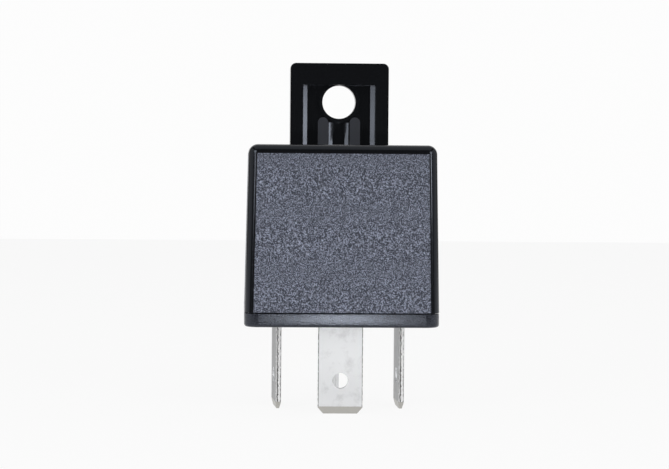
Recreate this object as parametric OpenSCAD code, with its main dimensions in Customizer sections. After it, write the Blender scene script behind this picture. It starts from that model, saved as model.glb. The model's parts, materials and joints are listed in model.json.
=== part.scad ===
// Four-blade automotive cube relay with a moulded bracket on its cover.
// The origin is the middle of the level that the blade tips stand on.
// +Z is up and -Y is the front, the side that the open face of the bracket looks to.
// The housing sets the room, and the coil and its magnet fill what the contacts leave of it.

/* [Blades] */
// Width of a blade
blade_w = 6.3; // [5.6:0.1:7]
// Thickness of a blade
blade_t = 0.8; // [0.6:0.05:0.95]
// Length of a blade below the base
blade_len = 12.45; // [9:0.05:16]
// Diameter of the detent hole in a blade
detent_d = 2.2; // [1.4:0.1:2.8]
// Height of the detent hole above the tip
detent_h = 4.65; // [3:0.05:6]
// Width taken off each corner of the tip
tip_corner_w = 0.76; // [0.3:0.02:1.5]
// Height of the corner taken off the tip
tip_corner_h = 0.87; // [0.3:0.02:1.8]
// Height of the bevel on the faces at the tip
tip_bevel_h = 1; // [0.5:0.05:2]
// Thickness of the tip below the bevel
tip_t = 0.4; // [0.2:0.02:0.5]
// Chamfer along the long edges of a blade
blade_edge = 0.14; // [0.04:0.01:0.18]
// Distance of the coil blades from the sides of the base plug
coil_blade_inset = 3.42; // [3:0.01:3.9]
// Material behind the shoulder of the rear blade
rear_rim = 0.75; // [0.4:0.05:1.5]
// Angle by which coil blade 85 is turned in the base
turn_85 = 4.6; // [0:0.1:5]
// Angle by which coil blade 86 is turned in the base
turn_86 = 2.7; // [0:0.1:5]
// How far the shoulders stand out on each side of a blade
shoulder_out = 0.35; // [0.2:0.05:0.6]
// Height of the shoulders
shoulder_h = 1.2; // [0.8:0.1:1.6]
// Width of a solder prong on a coil blade
prong_w = 1.2; // [0.8:0.1:1.6]
// Height of the solder prongs above the base
prong_h = 4.4; // [4:0.1:6]
// How far the prongs stand in from the ends of the shoulders
prong_inset = 0.45; // [0.2:0.05:0.8]
// Width of the tenon that stakes the rear blade in the yoke
tenon_w = 2; // [1.4:0.1:2.6]

/* [Base] */
// Width and depth of the base flange
body_w = 27.1; // [24.3:0.1:31]
// Height of the base flange
flange_h = 2.05; // [1.6:0.05:3]
// Corner radius of the base flange
flange_r = 2; // [1.4:0.1:3]
// Rounding of the lower edge of the flange
flange_edge = 0.4; // [0.2:0.05:0.7]
// Height of the plug that stands in the cover
plug_h = 2.6; // [2.3:0.1:3.2]
// Gap between the plug and the cover
plug_gap = 0.1; // [0.05:0.01:0.2]
// Height of the shadow groove below the cover
groove_h = 0.15; // [0.05:0.01:0.3]
// Depth of the shadow groove
groove_d = 0.6; // [0.3:0.05:0.8]
// Gap round a blade in its slot
slot_gap = 0.04; // [0.01:0.01:0.08]
// Width of the rim round the sealing well
well_rim = 1.25; // [0.9:0.05:1.6]
// Corner radius of the sealing well
well_r = 1; // [0.5:0.1:1.6]
// Depth of the sealing well
well_d = 0.9; // [0.5:0.05:1.2]
// How far the sealing resin stays below the rim of the well
resin_gap = 0.3; // [0.05:0.05:0.4]

/* [Cover] */
// How far the cover stands back from the edge of the flange
cover_inset = 0.05; // [0:0.01:0.2]
// Height of the cover without its bracket
cover_h = 23.2; // [21:0.05:27]
// Wall of the cover
cover_wall = 1.1; // [0.9:0.05:1.3]
// Top wall of the cover
cover_roof = 1.2; // [0.9:0.05:1.5]
// Draft of the side walls in degrees
cover_draft = 1.05; // [0.3:0.05:1.4]
// Rounding of the vertical and the upper edges
cover_r = 1.3; // [0.9:0.05:2]
// Rounding of the edges inside the cover
room_r = 0.5; // [0.3:0.05:1]
// Width of the latches between base and cover
latch_w = 6; // [3:0.1:10]
// Height of a latch
latch_h = 1.1; // [0.8:0.05:1.4]
// How far a latch stands out of the plug
latch_out = 0.45; // [0.3:0.05:0.5]
// Height of the flat at the tip of a latch
latch_tip = 0.3; // [0.15:0.05:0.5]

/* [Bracket] */
// Width of the bracket
bracket_w = 14.15; // [13:0.05:18]
// Height of the bracket above the cover
bracket_h = 11.75; // [10:0.05:16]
// Distance of the front rim behind the middle
bracket_y = 0.7; // [-2:0.1:4]
// Thickness of the back plate
plate_t = 1.8; // [1.2:0.1:3]
// Depth of the open channel in front of the plate
channel_d = 2.6; // [2:0.1:3.6]
// Thickness of the side walls of the channel
side_wall = 1.85; // [1.2:0.05:2.2]
// Thickness of the top wall of the channel
top_wall = 3.1; // [1.2:0.05:3.5]
// Corner radius at the top of the bracket
bracket_r = 0.8; // [0.3:0.05:1.5]
// Width of the shallow facet along each side wall, on the plate
facet_w = 0.65; // [0.3:0.05:0.9]
// How far that facet rises at the wall
facet_h = 0.2; // [0.1:0.02:0.3]
// Height of the foot in front of each side wall
foot_h = 1.7; // [0.8:0.1:3]
// Width of that foot, from the side of the bracket inwards
foot_w = 1.35; // [0.8:0.05:1.6]
// How far that foot stands out to the front
foot_step = 0.15; // [0.05:0.01:0.3]
// Diameter of the fixing hole
hole_d = 4.8; // [4:0.1:5.4]
// Distance of the hole's middle below the top of the bracket
hole_drop = 5.55; // [5:0.05:6.2]
// Wall of the ring round the hole
ring_wall = 0.55; // [0.3:0.05:0.8]
// How far the ring stands out of the plate
ring_h = 0.7; // [0.3:0.05:1]
// Width of the two ribs below the ring
rib_w = 1.5; // [0.8:0.05:1.7]
// Space between the two ribs
rib_space = 3.1; // [2.6:0.05:3.4]
// Distance of the ribs' tops below the middle of the hole
rib_drop = 2.2; // [1.8:0.05:2.8]
// How far the ribs stand out of the plate
rib_out = 1.3; // [0.8:0.05:1.6]
// Width of the groove between the ribs
slit_w = 1.75; // [1:0.05:2.2]
// Height of the wide part of the groove
slit_h = 1.55; // [1:0.05:2]
// Depth of the groove between the ribs
slit_d = 0.5; // [0.3:0.05:0.8]
// Width of the slope on either side of that groove
slope_w = 0.55; // [0.2:0.05:0.65]
// How deep that slope goes down at the groove
slope_d = 0.16; // [0.08:0.02:0.24]

/* [Magnet] */
// Room behind the yoke, for the bow of the spring and the resistor
rear_space = 3.42; // [3.1:0.01:4.2]
// Thickness of the yoke
yoke_t = 1.6; // [1.3:0.05:1.9]
// Inner radius of the yoke's bend
yoke_in_r = 0.3; // [0.1:0.05:0.5]
// How far the yoke and the armature stand in from the sides of the bobbin
yoke_inset = 1; // [0.6:0.05:1.6]
// Height of the ears that hold the armature sideways
ear_h = 1.1; // [0.6:0.05:1.25]
// Width of an ear
ear_w = 1; // [0.7:0.05:1.3]
// Gap between the bobbin and the strip of the fixed contact
coil_gap = 0.6; // [0.3:0.05:1]
// Thickness of a bobbin flange
bobbin_flange = 1.2; // [0.9:0.05:1.5]
// Wall of the bobbin tube
bobbin_wall = 0.75; // [0.5:0.05:1]
// Corner radius of the bobbin flanges
bobbin_r = 1; // [0.5:0.1:2]
// How far the bobbin flanges stand out of the winding
winding_margin = 0.8; // [0.5:0.05:1.6]
// Share of the winding's outer diameter that the core takes
core_share = 0.5; // [0.44:0.01:0.55]
// How far the pole face stands out round the core
pole_rim = 1.6; // [1:0.1:2.2]
// Thickness of the pole face
pole_t = 1; // [0.7:0.05:1.2]
// Chamfer round the pole face
pole_edge = 0.2; // [0.1:0.05:0.4]
// Step from the core to its riveted end
core_step = 1.1; // [0.8:0.05:1.4]
// Thickness of the armature
armature_t = 1.3; // [1.1:0.05:1.5]
// Corners cut off the front of the armature
armature_corner = 1.2; // [0.6:0.1:2]
// Angle through which the armature swings
swing = 3.2; // [2:0.1:3.6]

/* [Contacts] */
// Gap between the works and the walls of the cover
wall_gap = 0.25; // [0.15:0.01:0.4]
// Gap between the rest stop and the roof of the cover
roof_gap = 0.55; // [0.3:0.05:1]
// Thickness of the contact spring
spring_t = 0.3; // [0.2:0.01:0.4]
// Width of the spring at the yoke
spring_w = 9; // [8.2:0.1:10]
// Width of the spring at the contact
spring_tip_w = 5; // [3.8:0.1:6]
// Length over which the spring gets wider
taper_len = 2.1; // [1.5:0.1:3]
// Gap between the head of the fixed contact's rivet and the bend of its strip
reach_gap = 0.05; // [0.03:0.01:0.3]
// Diameter of the contact heads
contact_d = 3; // [2.6:0.1:3.3]
// Thickness of the contact heads
contact_h = 0.8; // [0.6:0.05:1]
// How far the contact heads stand out round their riveted heads
contact_step = 0.3; // [0.25:0.05:0.5]
// Diameter of the contact shanks
contact_shank_d = 1.6; // [1.2:0.05:1.8]
// Thickness of the riveted heads behind the contacts
tail_head_h = 0.35; // [0.2:0.05:0.45]
// Width of the strip that carries the fixed contact
riser_w = 4.4; // [3.6:0.1:5]
// Inner radius of the strip's bend
strip_bend_r = 0.2; // [0.1:0.05:0.25]
// Thickness of the rest stop strip
stop_t = 0.6; // [0.5:0.05:0.8]
// Width of the rest stop strip
stop_w = 2.6; // [2:0.1:2.9]
// Depth of the rest stop strip in the base
stop_foot = 1.6; // [1:0.1:2]
// Shank diameter of the small rivets
rivet_d = 1.5; // [1.2:0.1:1.8]
// Head diameter of the small rivets
rivet_head_d = 2.7; // [2.3:0.1:3]
// Head thickness of the small rivets
rivet_head_h = 0.5; // [0.35:0.05:0.6]
// Distance between the two rivets of a pair
rivet_space = 5.4; // [4.8:0.1:6]
// Distance of the armature's rivets behind the middle of the coil
armature_rivet_back = 2.6; // [1.5:0.1:3.5]
// Height of the yoke's rivets above its foot
yoke_rivet_h = 6.2; // [5.4:0.1:7.5]

/* [Coil leads and resistor] */
// Diameter of the winding wire where it leads out
wire_d = 0.3; // [0.2:0.02:0.34]
// Turns of the lead round its prong
wrap_turns = 2; // [1:1:3]
// Diameter of the resistor body
resistor_d = 1.9; // [1.6:0.05:2.1]
// Length of the resistor body
resistor_len = 6; // [5:0.1:8]
// Length of a cap at the end of the resistor
resistor_cap = 1; // [0.6:0.1:1.4]
// How far the resistor's body is waisted between its caps
resistor_waist = 0.1; // [0.05:0.01:0.2]
// Gap between the resistor and the cover
resistor_gap = 0.45; // [0.25:0.05:0.5]
// Height of the resistor above the base
resistor_h = 2.4; // [1.8:0.1:2.8]
// Diameter of the resistor leads
resistor_wire_d = 0.5; // [0.4:0.02:0.6]
// Length that the bend of a resistor lead takes
lead_bend = 1.2; // [0.8:0.1:1.8]

/* [Hidden] */

// Gap between pieces that touch while they work
touch = 0.03;
// Gap between pieces that are assembled loosely
loose = 0.3;
// Overrun of a cut past the face it opens
over = 1;
// Thickness of a slice that a hull starts from
slice = 0.01;
// Facets of round forms, and of the larger ones
sides = 32;
fine_sides = 48;

// Lengths that come from an angle are rounded to a micron
function micron(v) = round(v * 1000) / 1000;

// Levels of the housing, from the tips upwards
flange_z = blade_len;
cover_z = flange_z + flange_h;
roof_z = cover_z + cover_h;
plug_z = cover_z + plug_h;
bracket_z = roof_z + bracket_h;
hole_z = bracket_z - hole_drop;

// Half widths of the drafted cover and of the room inside it
cover_w = body_w - 2 * cover_inset;
slope = tan(cover_draft);
function cover_half(z) = micron(cover_w / 2 - (z - cover_z) * slope);
function room_half(z) = cover_half(z) - cover_wall;
room_z = roof_z - cover_roof;
plug_w = 2 * (room_half(plug_z) - plug_gap);
well_w = body_w - 2 * well_rim;

// Bracket, from its front rim to its back
plate_y = bracket_y + channel_d;
bracket_back_y = plate_y + plate_t;
ring_d = hole_d + 2 * ring_wall;
rib_z = hole_z - rib_drop;

// Contacts and blades, from the front wall of the room backwards
tip_y = wall_gap - room_half(room_z);
contact_y = -tip_y - contact_d / 2;
tail_head_d = contact_d - 2 * contact_step;
front_blade_y = contact_y - tail_head_d / 2 - reach_gap - strip_bend_r - blade_t / 2;
shoulder_w = blade_w + 2 * shoulder_out;
rear_blade_y = plug_w / 2 - rear_rim - shoulder_w / 2;
coil_blade_x = plug_w / 2 - coil_blade_inset;
strip_rear_y = -front_blade_y + blade_t / 2;

// Magnet, from the rear wall of the room forwards; the coil takes the space that is left
yoke_out_y = room_half(plug_z) - rear_space;
yoke_in_y = yoke_out_y - yoke_t;
bobbin_rear_y = yoke_in_y - yoke_in_r - touch;
bobbin_front_y = strip_rear_y + coil_gap;
bobbin_w = bobbin_rear_y - bobbin_front_y;
coil_y = (bobbin_rear_y + bobbin_front_y) / 2;
winding_d = bobbin_w - 2 * winding_margin;
core_d = micron(core_share * winding_d);
core_tail_d = core_d - 2 * core_step;
pole_d = core_d + 2 * pole_rim;
bobbin_tube_d = core_d + 2 * (touch + bobbin_wall);
yoke_w = bobbin_w - 2 * yoke_inset;
yoke_front_y = bobbin_front_y + yoke_inset;

// Levels of the works, from the roof of the room downwards
head_reach_y = yoke_out_y + contact_y + tail_head_d / 2;
head_reach_z = armature_t + spring_t + tail_head_h + 2 * touch;
stop_high_z = room_z - roof_gap;
stop_low_z = stop_high_z - stop_t;
pole_z = micron(stop_low_z - touch - head_reach_z * cos(swing) - head_reach_y * sin(swing));
bobbin_top_z = pole_z - pole_t;
foot_top_z = plug_z + yoke_t;
winding_z = foot_top_z + bobbin_flange;
winding_h = bobbin_top_z - bobbin_flange - winding_z;

// Levels while the armature is pulled in
armature_low_z = pole_z + touch;
armature_top_z = armature_low_z + armature_t;
tab_top_z = armature_top_z - 2 * contact_h - touch;

// Rivets that hold the spring
rivet_x = rivet_space / 2;
armature_rivet_y = coil_y + armature_rivet_back;
yoke_rivet_z = foot_top_z + yoke_rivet_h;

// Prongs on the coil blades, and the level where the leads meet them
prong_y = shoulder_w / 2 - prong_inset - prong_w / 2;
lead_z = winding_z + wire_d;
resistor_z = plug_z + resistor_h;
resistor_y = room_half(resistor_z) - resistor_gap - resistor_d / 2;

// ---- Helpers ----

module rounded_square(w, r) {
    inset = w / 2 - r;
    union() {
        square([w, 2 * inset], center = true);
        square([2 * inset, w], center = true);
        for (x = [-inset, inset], y = [-inset, inset])
            translate([x, y]) circle(r = r, $fn = sides);
    }
}

// A drafted block with rounded vertical and upper edges
module drafted_block(low_half, high_half, low_z, high_z, r) {
    hull()
        for (x = [-1, 1], y = [-1, 1]) {
            translate([x * (low_half - r), y * (low_half - r), low_z])
                cylinder(r = r, h = slice, $fn = sides);
            translate([x * (high_half - r), y * (high_half - r), high_z - r])
                sphere(r = r, $fn = sides);
        }
}

// A plate that is drawn in X and Z and reaches from one Y to another
module front_profile(from_y, to_y) {
    translate([0, to_y, 0]) rotate([90, 0, 0]) linear_extrude(to_y - from_y) children();
}

// A bar that is drawn in Y and Z and is as wide as w in X
module side_profile(w) {
    rotate([90, 0, 90]) translate([0, 0, -w / 2]) linear_extrude(w) children();
}

// Section of a bent strip: its outer corner at the origin, one side along X and one along Y
module bent_strip(x_len, y_len, t, r) {
    bend = t + r;
    difference() {
        union() {
            square([x_len, t]);
            square([t, y_len]);
            square(bend);
        }
        translate([bend, bend]) circle(r = r, $fn = sides);
        difference() {
            translate([-over, -over]) square(bend + over);
            translate([bend, bend]) circle(r = bend, $fn = sides);
        }
    }
}

// Turns the armature and what it carries about the rear edge of the yoke
module released() {
    translate([0, yoke_out_y, pole_z])
        rotate([-swing, 0, 0])
            translate([0, -yoke_out_y, -pole_z])
                children();
}

// A rivet along +Z: its shank starts at z = 0 and its head lies on z = grip
module rivet(shank_d, grip, head_d, head_h) {
    edge = head_h / 2;
    rotate_extrude($fn = sides)
        polygon([
            [0, 0], [shank_d / 2, 0], [shank_d / 2, grip], [head_d / 2, grip],
            [head_d / 2, grip + head_h - edge], [head_d / 2 - edge, grip + head_h],
            [0, grip + head_h]
        ]);
}

// A contact along +Z: a working head below z = 0, and a riveted head above the grip
module contact_rivet(grip) {
    edge = contact_h / 4;
    gap = touch / 2;
    rotate_extrude($fn = sides)
        polygon([
            [0, -contact_h], [contact_d / 2 - edge, -contact_h],
            [contact_d / 2, edge - contact_h], [contact_d / 2, 0],
            [contact_shank_d / 2 - gap, 0], [contact_shank_d / 2 - gap, grip],
            [tail_head_d / 2, grip], [tail_head_d / 2, grip + tail_head_h / 2],
            [tail_head_d / 2 - tail_head_h / 2, grip + tail_head_h],
            [0, grip + tail_head_h]
        ]);
}

// Points of a tube's ring, square to the mean of its two stretches
function unit(v) = v / norm(v);
function heading(path, i) =
    unit((i == 0 ? [0, 0, 0] : unit(path[i] - path[i - 1]))
        + (i == len(path) - 1 ? [0, 0, 0] : unit(path[i + 1] - path[i])));
function ring(path, i, r, n) =
    let (
        ahead = heading(path, i),
        side = unit(cross(ahead, abs(ahead[2]) > 0.9 ? [0, 1, 0] : [0, 0, 1])),
        up = cross(side, ahead)
    )
    [for (k = [0:n - 1]) path[i] + r * (side * cos(360 * k / n) + up * sin(360 * k / n))];

// A thin wire along a list of points
module wire(path, d) {
    n = 8;
    last = len(path) - 1;
    points = [for (i = [0:last]) each ring(path, i, d / 2, n)];
    walls = [
        for (i = [0:last - 1], k = [0:n - 1])
            [i * n + k, i * n + (k + 1) % n, (i + 1) * n + (k + 1) % n, (i + 1) * n + k]
    ];
    ends = [[for (k = [n - 1:-1:0]) k], [for (k = [0:n - 1]) last * n + k]];
    polyhedron(points, concat(walls, ends), convexity = 4);
}

// ---- Blades ----

// The bare blade along X, with its tip at z = 0
module blade(top_z) {
    difference() {
        intersection() {
            front_profile(-blade_t / 2, blade_t / 2)
                polygon([
                    [tip_corner_w - blade_w / 2, 0], [blade_w / 2 - tip_corner_w, 0],
                    [blade_w / 2, tip_corner_h], [blade_w / 2, top_z],
                    [-blade_w / 2, top_z], [-blade_w / 2, tip_corner_h]
                ]);
            side_profile(blade_w)
                polygon([
                    [-tip_t / 2, 0], [tip_t / 2, 0], [blade_t / 2, tip_bevel_h],
                    [blade_t / 2, top_z], [-blade_t / 2, top_z], [-blade_t / 2, tip_bevel_h]
                ]);
            linear_extrude(top_z) blade_section(0);
        }
        translate([0, blade_t / 2 + over, detent_h])
            rotate([90, 0, 0])
                cylinder(d = detent_d, h = blade_t + 2 * over, $fn = sides);
    }
}

// Section of a blade with its chamfered long edges, or of its slot
module blade_section(gap) {
    x = blade_w / 2 + gap;
    y = blade_t / 2 + gap;
    e = blade_edge;
    polygon([
        [-x, e - y], [e - x, -y], [x - e, -y], [x, e - y],
        [x, y - e], [x - e, y], [e - x, y], [-x, y - e]
    ]);
}

module shoulders(gap = 0) {
    translate([-shoulder_w / 2 - gap, -blade_t / 2 - gap, plug_z - shoulder_h])
        cube([shoulder_w + 2 * gap, blade_t + 2 * gap, shoulder_h + (gap > 0 ? over : 0)]);
}

// Everything of one terminal that is cut into the base and the resin
module terminal_slot() {
    translate([0, 0, flange_z - over]) linear_extrude(plug_h + flange_h + 2 * over)
        blade_section(slot_gap);
    shoulders(slot_gap);
}

module at_blade_87() { translate([0, -front_blade_y, 0]) children(); }
module at_blade_30() { translate([0, rear_blade_y, 0]) rotate(90) children(); }
module at_blade_85() { translate([-coil_blade_x, 0, 0]) rotate(90 + turn_85) children(); }
module at_blade_86() { translate([coil_blade_x, 0, 0]) rotate(90 + turn_86) children(); }

module all_slots() {
    at_blade_87() terminal_slot();
    at_blade_30() terminal_slot();
    at_blade_85() terminal_slot();
    at_blade_86() terminal_slot();
}

// Staked end of the load blade that feeds the yoke
tenon_x = yoke_in_y - loose - tenon_w / 2 - rear_blade_y;
module tenon(gap = 0) {
    translate([tenon_x - tenon_w / 2 - gap, -blade_t / 2 - gap, plug_z - (gap > 0 ? over : 0)])
        cube([tenon_w + 2 * gap, blade_t + 2 * gap, yoke_t + (gap > 0 ? 2 * over : 0)]);
}

module blade_30() {
    color([0.80, 0.80, 0.78])
        at_blade_30() {
            blade(plug_z);
            shoulders();
            tenon();
        }
}

// The front load blade rises beside the coil and bends forward under the moving contact
module blade_87() {
    tab_low_z = tab_top_z - blade_t;
    color([0.80, 0.80, 0.78])
        difference() {
            union() {
                at_blade_87() {
                    blade(plug_z);
                    shoulders();
                }
                side_profile(riser_w)
                    translate([strip_rear_y, tab_top_z])
                        rotate(180)
                            bent_strip(strip_rear_y - tip_y, tab_top_z - plug_z + shoulder_h,
                                blade_t, strip_bend_r);
            }
            translate([0, -contact_y, tab_low_z - over])
                cylinder(d = contact_shank_d, h = blade_t + 2 * over, $fn = sides);
        }
}

// A coil blade ends in a fork: the front prong takes the winding, the rear one the resistor
module coil_terminal() {
    blade(plug_z);
    shoulders();
    for (side = [-1, 1])
        translate([side * prong_y - prong_w / 2, -blade_t / 2, plug_z - shoulder_h])
            cube([prong_w, blade_t, shoulder_h + prong_h]);
}

module blade_85() { color([0.80, 0.80, 0.78]) at_blade_85() coil_terminal(); }
module blade_86() { color([0.80, 0.80, 0.78]) at_blade_86() coil_terminal(); }

// ---- Housing ----

// A latch nose or its pocket on the right side, drawn in X and Z
module latch(gap) {
    low_z = cover_z + (plug_h - latch_h) / 2 - gap;
    high_z = low_z + latch_h + 2 * gap;
    x = plug_w / 2;
    front_profile(-latch_w / 2 - gap, latch_w / 2 + gap)
        polygon([
            [x - over, low_z], [x + latch_out + gap, low_z],
            [x + latch_out + gap, low_z + latch_tip + gap], [x, high_z], [x - over, high_z]
        ]);
}

module flange_form() {
    inset = body_w / 2 - flange_r;
    top_z = cover_z - groove_h;
    hull()
        for (x = [-inset, inset], y = [-inset, inset])
            translate([x, y, flange_z])
                rotate_extrude($fn = sides)
                    union() {
                        square([flange_r - flange_edge, flange_edge]);
                        translate([0, flange_edge])
                            square([flange_r, top_z - flange_z - flange_edge]);
                        translate([flange_r - flange_edge, flange_edge])
                            circle(r = flange_edge, $fn = sides / 2);
                    }
}

module base() {
    land_w = body_w - 2 * groove_d;
    color([0.07, 0.07, 0.08])
        difference() {
            union() {
                flange_form();
                translate([0, 0, flange_z + flange_edge])
                    linear_extrude(flange_h - flange_edge)
                        rounded_square(land_w, flange_r - groove_d);
                translate([0, 0, cover_z - groove_h])
                    linear_extrude(plug_h + groove_h) rounded_square(plug_w, room_r);
                for (turn = [0, 180]) rotate(turn) latch(0);
            }
            all_slots();
            translate([0, 0, flange_z - over])
                linear_extrude(well_d + over) rounded_square(well_w, well_r);
            translate([coil_blade_x - stop_t / 2 - slot_gap, -contact_y - stop_w / 2 - slot_gap,
                    plug_z - stop_foot])
                cube([stop_t + 2 * slot_gap, stop_w + 2 * slot_gap, stop_foot + over]);
        }
}

module sealing_resin() {
    color([0.05, 0.05, 0.055])
        difference() {
            translate([0, 0, flange_z + resin_gap])
                linear_extrude(well_d - resin_gap) rounded_square(well_w, well_r);
            all_slots();
        }
}

// Outline of the bracket in X and Z, with rounded upper corners
module bracket_outline(w, low_z, high_z, r) {
    union() {
        translate([-w / 2, low_z]) square([w, high_z - low_z - r]);
        translate([r - w / 2, low_z]) square([w - 2 * r, high_z - low_z]);
        for (side = [-1, 1])
            translate([side * (w / 2 - r), high_z - r]) circle(r = r, $fn = sides);
    }
}

// The open channel between the side walls, with a shallow facet along each wall
module bracket_channel() {
    w = bracket_w - 2 * side_wall;
    high_z = bracket_z - top_wall;
    past = facet_h * over / facet_w;
    difference() {
        translate([-w / 2, bracket_y - over, roof_z])
            cube([w, channel_d + over, high_z - roof_z]);
        for (side = [-1, 1])
            translate([0, 0, roof_z - over])
                linear_extrude(high_z - roof_z + 2 * over)
                    polygon([
                        [side * (w / 2 - facet_w), plate_y],
                        [side * (w / 2 + over), plate_y - facet_h - past],
                        [side * (w / 2 + over), plate_y + over],
                        [side * (w / 2 - facet_w), plate_y + over]
                    ]);
    }
}

module bracket_ribs() {
    reach = plate_y - rib_out;
    for (side = [-1, 1])
        front_profile(reach, plate_y + plate_t / 2)
            translate([side * (rib_space + rib_w) / 2, 0])
                union() {
                    translate([-rib_w / 2, roof_z - cover_roof / 2])
                        square([rib_w, rib_z - roof_z + cover_roof / 2 - rib_w / 2]);
                    translate([0, rib_z - rib_w / 2])
                        circle(d = rib_w, $fn = sides);
                }
}

// A bottle-shaped groove between the ribs, in a shallow valley
module bracket_groove() {
    valley_x = slit_w / 2 + slope_w;
    neck_w = slit_w / 2;
    neck_z = hole_z - ring_d / 2;
    body_z = roof_z + slit_h;
    front_profile(plate_y - over, plate_y + slit_d)
        polygon([
            [-slit_w / 2, roof_z], [slit_w / 2, roof_z], [slit_w / 2, body_z],
            [neck_w / 2, body_z + neck_w], [neck_w / 2, neck_z],
            [-neck_w / 2, neck_z], [-neck_w / 2, body_z + neck_w],
            [-slit_w / 2, body_z]
        ]);
    translate([0, 0, roof_z])
        linear_extrude(neck_z - roof_z)
            polygon([
                [-valley_x, plate_y - over], [valley_x, plate_y - over],
                [valley_x, plate_y], [slit_w / 2, plate_y + slope_d],
                [-slit_w / 2, plate_y + slope_d], [-valley_x, plate_y]
            ]);
}

module bracket() {
    low_z = roof_z - cover_roof / 2;
    difference() {
        union() {
            difference() {
                union() {
                    front_profile(bracket_y, bracket_back_y)
                        bracket_outline(bracket_w, low_z, bracket_z, bracket_r);
                    for (side = [-1, 1])
                        front_profile(bracket_y - foot_step, plate_y)
                            translate([side * (bracket_w - foot_w) / 2 - foot_w / 2, low_z])
                                square([foot_w, foot_h + cover_roof / 2]);
                }
                bracket_channel();
            }
            bracket_ribs();
            translate([0, plate_y + plate_t / 2, hole_z])
                rotate([90, 0, 0])
                    cylinder(d = ring_d, h = ring_h + plate_t / 2, $fn = sides);
        }
        bracket_groove();
        translate([0, bracket_back_y + over, hole_z])
            rotate([90, 0, 0])
                cylinder(d = hole_d, h = plate_t + channel_d + 2 * over, $fn = sides);
    }
}

module cover() {
    color([0.09, 0.09, 0.10])
        union() {
            difference() {
                drafted_block(cover_half(cover_z), cover_half(roof_z), cover_z, roof_z, cover_r);
                drafted_block(room_half(cover_z - over), room_half(room_z),
                    cover_z - over, room_z, room_r);
                for (turn = [0, 180]) rotate(turn) latch(plug_gap);
            }
            bracket();
        }
}

// ---- Magnet ----

module yoke() {
    ear_top_z = pole_z + ear_h;
    color([0.62, 0.62, 0.60])
        difference() {
            union() {
                side_profile(yoke_w)
                    translate([yoke_out_y, plug_z])
                        mirror([1, 0])
                            bent_strip(yoke_out_y - yoke_front_y, pole_z - plug_z,
                                yoke_t, yoke_in_r);
                for (side = [-1, 1])
                    translate([side * (yoke_w - ear_w) / 2 - ear_w / 2, yoke_in_y, pole_z - ear_h])
                        cube([ear_w, yoke_t, ear_top_z - pole_z + ear_h]);
            }
            translate([0, coil_y, plug_z - over])
                cylinder(d = core_tail_d + touch, h = yoke_t + 2 * over, $fn = sides);
            at_blade_30() tenon(touch);
            for (x = [-rivet_x, rivet_x])
                translate([x, yoke_out_y + over, yoke_rivet_z])
                    rotate([90, 0, 0])
                        cylinder(d = rivet_d + touch, h = yoke_t + 2 * over, $fn = sides);
        }
}

module core() {
    color([0.70, 0.70, 0.68])
        translate([0, coil_y, 0])
            rotate_extrude($fn = fine_sides)
                polygon([
                    [0, plug_z], [core_tail_d / 2, plug_z], [core_tail_d / 2, foot_top_z],
                    [core_d / 2, foot_top_z], [core_d / 2, bobbin_top_z],
                    [pole_d / 2, bobbin_top_z], [pole_d / 2, pole_z - pole_edge],
                    [pole_d / 2 - pole_edge, pole_z], [0, pole_z]
                ]);
}

module bobbin() {
    color([0.82, 0.80, 0.72])
        translate([0, coil_y, 0])
            difference() {
                union() {
                    for (z = [foot_top_z, bobbin_top_z - bobbin_flange])
                        translate([0, 0, z])
                            linear_extrude(bobbin_flange) rounded_square(bobbin_w, bobbin_r);
                    translate([0, 0, foot_top_z])
                        cylinder(d = bobbin_tube_d, h = bobbin_top_z - foot_top_z, $fn = fine_sides);
                }
                translate([0, 0, foot_top_z - over])
                    cylinder(d = core_d + 2 * touch,
                        h = bobbin_top_z - foot_top_z + 2 * over, $fn = fine_sides);
            }
}

module coil_winding() {
    color([0.62, 0.30, 0.14])
        translate([0, coil_y, winding_z + touch])
            difference() {
                cylinder(d = winding_d, h = winding_h - 2 * touch, $fn = fine_sides);
                translate([0, 0, -over])
                    cylinder(d = bobbin_tube_d + 2 * touch, h = winding_h + 2 * over, $fn = fine_sides);
            }
}

// The armature lies on the yoke's edge and reaches over the pole
module armature() {
    neck_w = yoke_w - 2 * (ear_w + touch);
    corner = armature_corner;
    front = bobbin_front_y;
    neck_y = yoke_in_y - loose;
    color([0.66, 0.66, 0.64])
        released()
            difference() {
                translate([0, 0, armature_low_z])
                    linear_extrude(armature_t)
                        polygon([
                            [corner - yoke_w / 2, front], [yoke_w / 2 - corner, front],
                            [yoke_w / 2, front + corner], [yoke_w / 2, neck_y],
                            [neck_w / 2, neck_y], [neck_w / 2, yoke_out_y],
                            [-neck_w / 2, yoke_out_y], [-neck_w / 2, neck_y],
                            [-yoke_w / 2, neck_y], [-yoke_w / 2, front + corner]
                        ]);
                for (x = [-rivet_x, rivet_x])
                    translate([x, armature_rivet_y, armature_low_z - over])
                        cylinder(d = rivet_d + touch, h = armature_t + 2 * over, $fn = sides);
            }
}

// ---- Contact spring ----

// A point on the closed armature's level, turned to where it lies when released
function turned(y, z) = [
    yoke_out_y + (y - yoke_out_y) * cos(swing) + (z - pole_z) * sin(swing),
    pole_z - (y - yoke_out_y) * sin(swing) + (z - pole_z) * cos(swing)
];
function bezier(p, t) =
    p[0] * pow(1 - t, 3) + 3 * p[1] * t * pow(1 - t, 2)
    + 3 * p[2] * t * t * (1 - t) + p[3] * pow(t, 3);

// Middle line of the spring from its tip, over the armature, round a bow and down the yoke
spring_mid_z = armature_top_z + touch + spring_t / 2;
spring_leg_y = yoke_out_y + touch + spring_t / 2;
spring_low_z = yoke_rivet_z - rivet_head_d / 2 - 2 * loose;
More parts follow.
